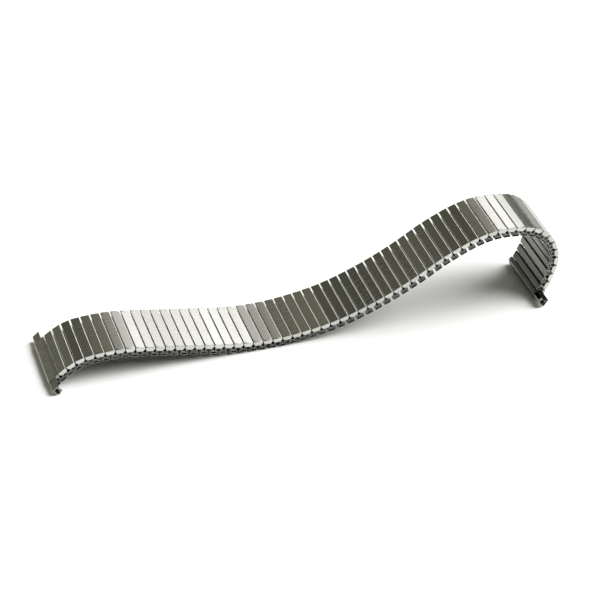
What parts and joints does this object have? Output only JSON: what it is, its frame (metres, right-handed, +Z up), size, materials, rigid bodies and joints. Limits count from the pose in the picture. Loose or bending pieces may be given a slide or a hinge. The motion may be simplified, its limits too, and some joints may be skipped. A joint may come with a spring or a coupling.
{
  "type": "expansion watch band",
  "caption": "Stretching metal watch band of two staggered rows of flat sleeves joined by spring-loaded staples, with telescoping ends for spring bars.",
  "frame": {"origin": "on the table under the middle of the band as it lies at rest", "axes": "+X along the band towards the curled end, +Y across the band to its far edge, +Z up"},
  "size_m": [0.1294, 0.0226, 0.0232],
  "materials": {
    "link_steel": "satin, brushed along the band",
    "end_steel": "satin, brushed along the band",
    "insert_steel": "plain rolled",
    "staple_steel": "plain rolled strip",
    "spring_steel": "plain spring strip"
  },
  "bodies": {
    "group_01": {"top_links_01": "link_steel", "bottom_links_01": "link_steel", "staples_01": "staple_steel", "leaf_springs_01": "spring_steel"},
    "group_02": {"top_links_02": "link_steel", "bottom_links_02": "link_steel", "staples_02": "staple_steel", "leaf_springs_02": "spring_steel"},
    "group_03": {"top_links_03": "link_steel", "bottom_links_03": "link_steel", "staples_03": "staple_steel", "leaf_springs_03": "spring_steel"},
    "group_04": {"top_links_04": "link_steel", "bottom_links_04": "link_steel", "staples_04": "staple_steel", "leaf_springs_04": "spring_steel"},
    "group_05": {"top_links_05": "link_steel", "bottom_links_05": "link_steel", "staples_05": "staple_steel", "leaf_springs_05": "spring_steel"},
    "group_06": {"top_links_06": "link_steel", "bottom_links_06": "link_steel", "staples_06": "staple_steel", "leaf_springs_06": "spring_steel"},
    "group_07": {"top_links_07": "link_steel", "bottom_links_07": "link_steel", "staples_07": "staple_steel", "leaf_springs_07": "spring_steel"},
    "group_08": {"top_links_08": "link_steel", "bottom_links_08": "link_steel", "staples_08": "staple_steel", "leaf_springs_08": "spring_steel"},
    "group_09": {"top_links_09": "link_steel", "bottom_links_09": "link_steel", "staples_09": "staple_steel", "leaf_springs_09": "spring_steel"},
    "group_10": {"top_links_10": "link_steel", "bottom_links_10": "link_steel", "staples_10": "staple_steel", "leaf_springs_10": "spring_steel"},
    "hinge_01": {"hinge_staples_01": "staple_steel"},
    "hinge_02": {"hinge_staples_02": "staple_steel"},
    "hinge_03": {"hinge_staples_03": "staple_steel"},
    "hinge_04": {"hinge_staples_04": "staple_steel"},
    "hinge_05": {"hinge_staples_05": "staple_steel"},
    "hinge_06": {"hinge_staples_06": "staple_steel"},
    "hinge_07": {"hinge_staples_07": "staple_steel"},
    "hinge_08": {"hinge_staples_08": "staple_steel"},
    "hinge_09": {"hinge_staples_09": "staple_steel"},
    "hinge_10": {"hinge_staples_10": "staple_steel"},
    "hinge_11": {"hinge_staples_11": "staple_steel"},
    "left_end": {"left_end_shell": "end_steel", "left_end_spring": "spring_steel"},
    "left_near_insert": {"left_insert_near": "insert_steel"},
    "left_far_insert": {"left_insert_far": "insert_steel"},
    "right_end": {"right_end_shell": "end_steel", "right_end_spring": "spring_steel"},
    "right_near_insert": {"right_insert_near": "insert_steel"},
    "right_far_insert": {"right_insert_far": "insert_steel"}
  },
  "joints": [
    {"name": "lower_leg_01", "type": "hinge", "parent": "group_01", "child": "hinge_01", "pos_m": [-0.06145, 0, 0.00159], "axis": [0, -1, 0], "range_deg": [-4, 15], "stiffness_Nm_per_rad": 0.08},
    {"name": "upper_leg_01", "type": "hinge", "parent": "hinge_01", "child": "left_end", "pos_m": [-0.06257, 0, 0.00297], "axis": [0, 1, 0], "range_deg": [-4.95, 17.25], "stiffness_Nm_per_rad": 0.08},
    {"name": "lower_leg_02", "type": "hinge", "parent": "group_02", "child": "hinge_02", "pos_m": [-0.04891, 0, 0.00548], "axis": [0, -1, 0], "range_deg": [-4, 15], "stiffness_Nm_per_rad": 0.08},
    {"name": "upper_leg_02", "type": "hinge", "parent": "hinge_02", "child": "group_01", "pos_m": [-0.04888, 0, 0.00725], "axis": [0, 1, 0], "range_deg": [-5.45, 16.75], "stiffness_Nm_per_rad": 0.08},
    {"name": "lower_leg_03", "type": "hinge", "parent": "group_03", "child": "hinge_03", "pos_m": [-0.03456, 0, 0.00359], "axis": [0, -1, 0], "range_deg": [-4, 15], "stiffness_Nm_per_rad": 0.08},
    {"name": "upper_leg_03", "type": "hinge", "parent": "hinge_03", "child": "group_02", "pos_m": [-0.03426, 0, 0.00533], "axis": [0, 1, 0], "range_deg": [-7.2, 15], "stiffness_Nm_per_rad": 0.08},
    {"name": "lower_leg_04", "type": "hinge", "parent": "group_04", "child": "hinge_04", "pos_m": [-0.01997, 0, 0.00112], "axis": [0, -1, 0], "range_deg": [-4, 15], "stiffness_Nm_per_rad": 0.08},
    {"name": "upper_leg_04", "type": "hinge", "parent": "hinge_04", "child": "group_03", "pos_m": [-0.01971, 0, 0.00287], "axis": [0, 1, 0], "range_deg": [-8.4, 13.8], "stiffness_Nm_per_rad": 0.08},
    {"name": "lower_leg_05", "type": "hinge", "parent": "group_05", "child": "hinge_05", "pos_m": [-0.00482, 0, 0.00067], "axis": [0, -1, 0], "range_deg": [-4, 15], "stiffness_Nm_per_rad": 0.08},
    {"name": "upper_leg_05", "type": "hinge", "parent": "hinge_05", "child": "group_04", "pos_m": [-0.005, 0, 0.00243], "axis": [0, 1, 0], "range_deg": [-8.07, 14.12], "stiffness_Nm_per_rad": 0.08},
    {"name": "upper_leg_06", "type": "hinge", "parent": "group_05", "child": "hinge_06", "pos_m": [0.00947, 0, 0.00522], "axis": [0, -1, 0], "range_deg": [-8.55, 13.65], "stiffness_Nm_per_rad": 0.08},
    {"name": "lower_leg_06", "type": "hinge", "parent": "hinge_06", "child": "group_06", "pos_m": [0.01003, 0, 0.00354], "axis": [0, 1, 0], "range_deg": [-4, 15], "stiffness_Nm_per_rad": 0.08},
    {"name": "upper_leg_07", "type": "hinge", "parent": "group_06", "child": "hinge_07", "pos_m": [0.02301, 0, 0.01105], "axis": [0, -1, 0], "range_deg": [-7.95, 14.25], "stiffness_Nm_per_rad": 0.08},
    {"name": "lower_leg_07", "type": "hinge", "parent": "hinge_07", "child": "group_07", "pos_m": [0.02385, 0, 0.00949], "axis": [0, 1, 0], "range_deg": [-4, 15], "stiffness_Nm_per_rad": 0.08},
    {"name": "upper_leg_08", "type": "hinge", "parent": "group_07", "child": "hinge_08", "pos_m": [0.03573, 0, 0.01853], "axis": [0, -1, 0], "range_deg": [-6.4, 15.8], "stiffness_Nm_per_rad": 0.08},
    {"name": "lower_leg_08", "type": "hinge", "parent": "hinge_08", "child": "group_08", "pos_m": [0.03653, 0, 0.01696], "axis": [0, 1, 0], "range_deg": [-4, 15], "stiffness_Nm_per_rad": 0.08},
    {"name": "upper_leg_09", "type": "hinge", "parent": "group_08", "child": "hinge_09", "pos_m": [0.04969, 0, 0.0228], "axis": [0, -1, 0], "range_deg": [-4.95, 17.25], "stiffness_Nm_per_rad": 0.08},
    {"name": "lower_leg_09", "type": "hinge", "parent": "hinge_09", "child": "group_09", "pos_m": [0.04966, 0, 0.02103], "axis": [0, 1, 0], "range_deg": [-4, 15], "stiffness_Nm_per_rad": 0.08},
    {"name": "upper_leg_10", "type": "hinge", "parent": "group_09", "child": "hinge_10", "pos_m": [0.06266, 0, 0.01737], "axis": [0, -1, 0], "range_deg": [-0.65, 21.55], "stiffness_Nm_per_rad": 0.08},
    {"name": "lower_leg_10", "type": "hinge", "parent": "hinge_10", "child": "group_10", "pos_m": [0.06112, 0, 0.01651], "axis": [0, 1, 0], "range_deg": [-4, 15], "stiffness_Nm_per_rad": 0.08},
    {"name": "lower_leg_11", "type": "hinge", "parent": "group_10", "child": "hinge_11", "pos_m": [0.05991, 0, 0.00318], "axis": [0, 1, 0], "range_deg": [-4, 15], "stiffness_Nm_per_rad": 0.08},
    {"name": "upper_leg_11", "type": "hinge", "parent": "hinge_11", "child": "right_end", "pos_m": [0.06147, 0, 0.00233], "axis": [0, -1, 0], "range_deg": [-0.7, 21.5], "stiffness_Nm_per_rad": 0.08},
    {"name": "left_near_slide", "type": "slide", "parent": "left_end", "child": "left_near_insert", "axis": [0, -1, 0], "range_m": [-0.0033, 0.0007]},
    {"name": "left_far_slide", "type": "slide", "parent": "left_end", "child": "left_far_insert", "axis": [0, 1, 0], "range_m": [-0.0033, 0.0007]},
    {"name": "right_near_slide", "type": "slide", "parent": "right_end", "child": "right_near_insert", "axis": [0, -1, 0], "range_m": [-0.0033, 0.0007]},
    {"name": "right_far_slide", "type": "slide", "parent": "right_end", "child": "right_far_insert", "axis": [0, 1, 0], "range_m": [-0.001, 0.003]}
  ]
}
